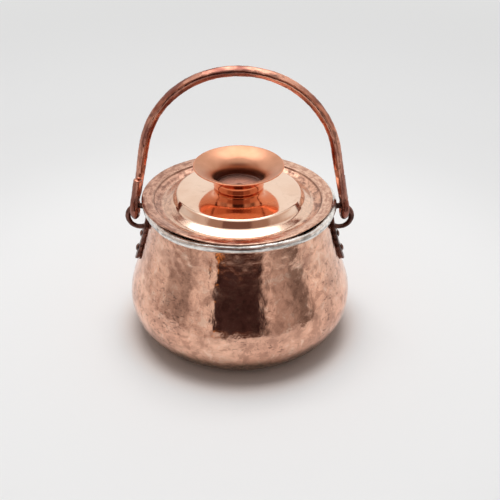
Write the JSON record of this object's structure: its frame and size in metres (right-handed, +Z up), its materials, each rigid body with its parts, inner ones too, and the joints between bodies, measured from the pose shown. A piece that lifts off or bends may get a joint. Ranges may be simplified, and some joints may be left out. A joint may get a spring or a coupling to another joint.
{
  "type": "lidded cooking pot",
  "caption": "Hammered copper stew pot with a low round belly, a stepped lid with a flared knob, riveted hook ears and an arched swinging bail handle.",
  "frame": {"origin": "centre of the flat base, on the surface it stands on", "axes": "+Z up, X along the line of the bail's two eyes, -Y towards the front"},
  "size_m": [0.2068, 0.2046, 0.2546],
  "materials": {
    "body_copper": "hammered satin copper outside, tinned on the rim and inside, tarnished near the base",
    "lid_copper": "polished copper with a hammered channel",
    "knob_copper": "spun polished copper",
    "rivet_copper": "darkened copper",
    "ear_dark_copper": "dark forged copper",
    "bail_copper": "hammered red brown copper"
  },
  "bodies": {
    "pot": {"pot_body": "body_copper", "pot_foot": "body_copper", "pot_base": "body_copper", "lid": "lid_copper", "lid_knob": "knob_copper", "knob_rivet": "rivet_copper", "left_ear": "ear_dark_copper", "right_ear": "ear_dark_copper", "left_upper_rivet": "rivet_copper", "left_lower_rivet": "rivet_copper", "right_upper_rivet": "rivet_copper", "right_lower_rivet": "rivet_copper"},
    "bail": {"bail": "bail_copper"}
  },
  "joints": [
    {"name": "bail_swing", "type": "hinge", "parent": "pot", "child": "bail", "pos_m": [0, 0, 0.1234], "axis": [1, 0, 0], "range_deg": [-123, 123]}
  ]
}
